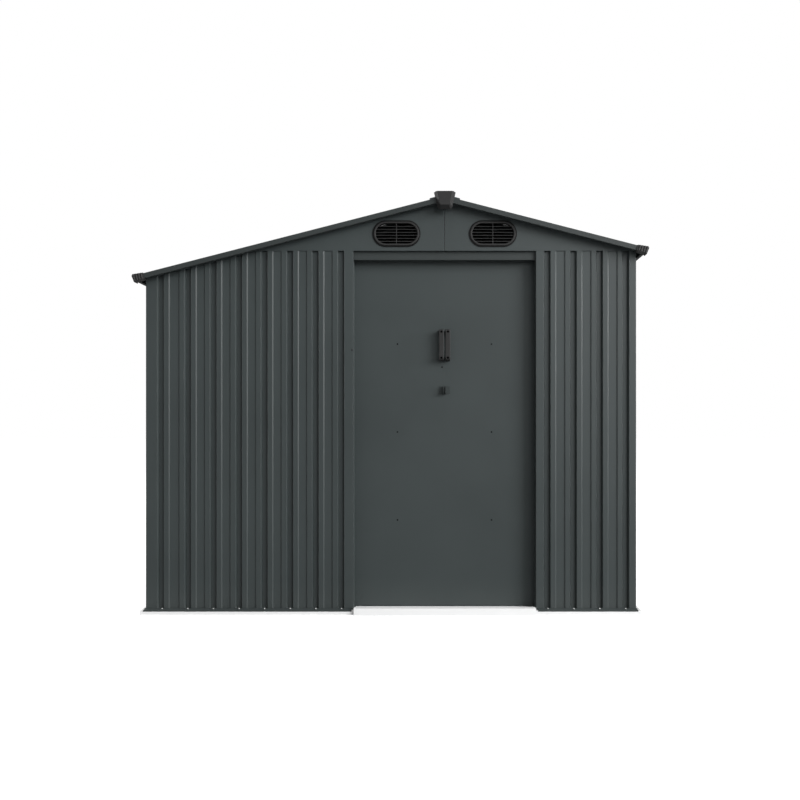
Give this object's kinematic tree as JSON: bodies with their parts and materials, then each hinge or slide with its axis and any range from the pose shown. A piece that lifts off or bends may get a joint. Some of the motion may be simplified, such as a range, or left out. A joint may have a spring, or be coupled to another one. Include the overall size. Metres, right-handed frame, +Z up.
{
  "type": "metal storage shed",
  "caption": "Walk-in garden storage shed of dark grey corrugated sheet steel with an off-centre gable roof, oval louvred vents and a pair of sliding doors with black handles.",
  "frame": {"origin": "middle of the plan of the whole shed, at ground level", "axes": "+X along the door wall, to the right as the doors are faced from outside; +Y from the door wall to the back wall; +Z up"},
  "size_m": [2.426, 1.914, 1.994],
  "materials": {
    "painted_sheet": "satin baked paint, dark grey with a faint green cast",
    "black_plastic": "fine-grained matte black",
    "galvanised_steel": "zinc-coated, dull satin"
  },
  "bodies": {
    "shed": {"base_rail_front": "galvanised_steel", "base_rail_back": "galvanised_steel", "base_rail_left": "galvanised_steel", "base_rail_right": "galvanised_steel", "door_threshold": "galvanised_steel", "lower_door_track": "galvanised_steel", "upper_door_track": "galvanised_steel", "door_header": "painted_sheet", "back_header": "galvanised_steel", "eave_rail_left": "galvanised_steel", "eave_rail_right": "galvanised_steel", "corner_posts": "galvanised_steel", "door_jamb_left": "painted_sheet", "door_jamb_right": "painted_sheet", "mid_rails": "galvanised_steel", "front_wall_left": "painted_sheet", "front_wall_right": "painted_sheet", "back_wall": "painted_sheet", "left_wall": "painted_sheet", "right_wall": "painted_sheet", "gable_front": "painted_sheet", "gable_back": "painted_sheet", "vents_front": "black_plastic", "vents_back": "black_plastic", "rafters": "galvanised_steel", "roof_beams": "galvanised_steel", "roof_sheet_left": "painted_sheet", "roof_sheet_right": "painted_sheet", "verge_trim_front": "painted_sheet", "verge_trim_back": "painted_sheet", "eave_trim_left": "painted_sheet", "eave_trim_right": "painted_sheet", "eave_caps": "black_plastic", "ridge_flashing": "painted_sheet", "ridge_caps": "black_plastic"},
    "door_left": {"door_leaf_left": "painted_sheet", "door_braces_left": "galvanised_steel", "door_slides_left": "black_plastic", "handle_left": "black_plastic", "hasp_left": "painted_sheet"},
    "door_right": {"door_leaf_right": "painted_sheet", "door_braces_right": "galvanised_steel", "door_slides_right": "black_plastic", "handle_right": "black_plastic", "hasp_right": "painted_sheet"}
  },
  "joints": [
    {"name": "left_door_slide", "type": "slide", "parent": "shed", "child": "door_left", "axis": [-1, 0, 0], "range_m": [0, 0.4]},
    {"name": "right_door_slide", "type": "slide", "parent": "shed", "child": "door_right", "axis": [1, 0, 0], "range_m": [0, 0.4]}
  ]
}
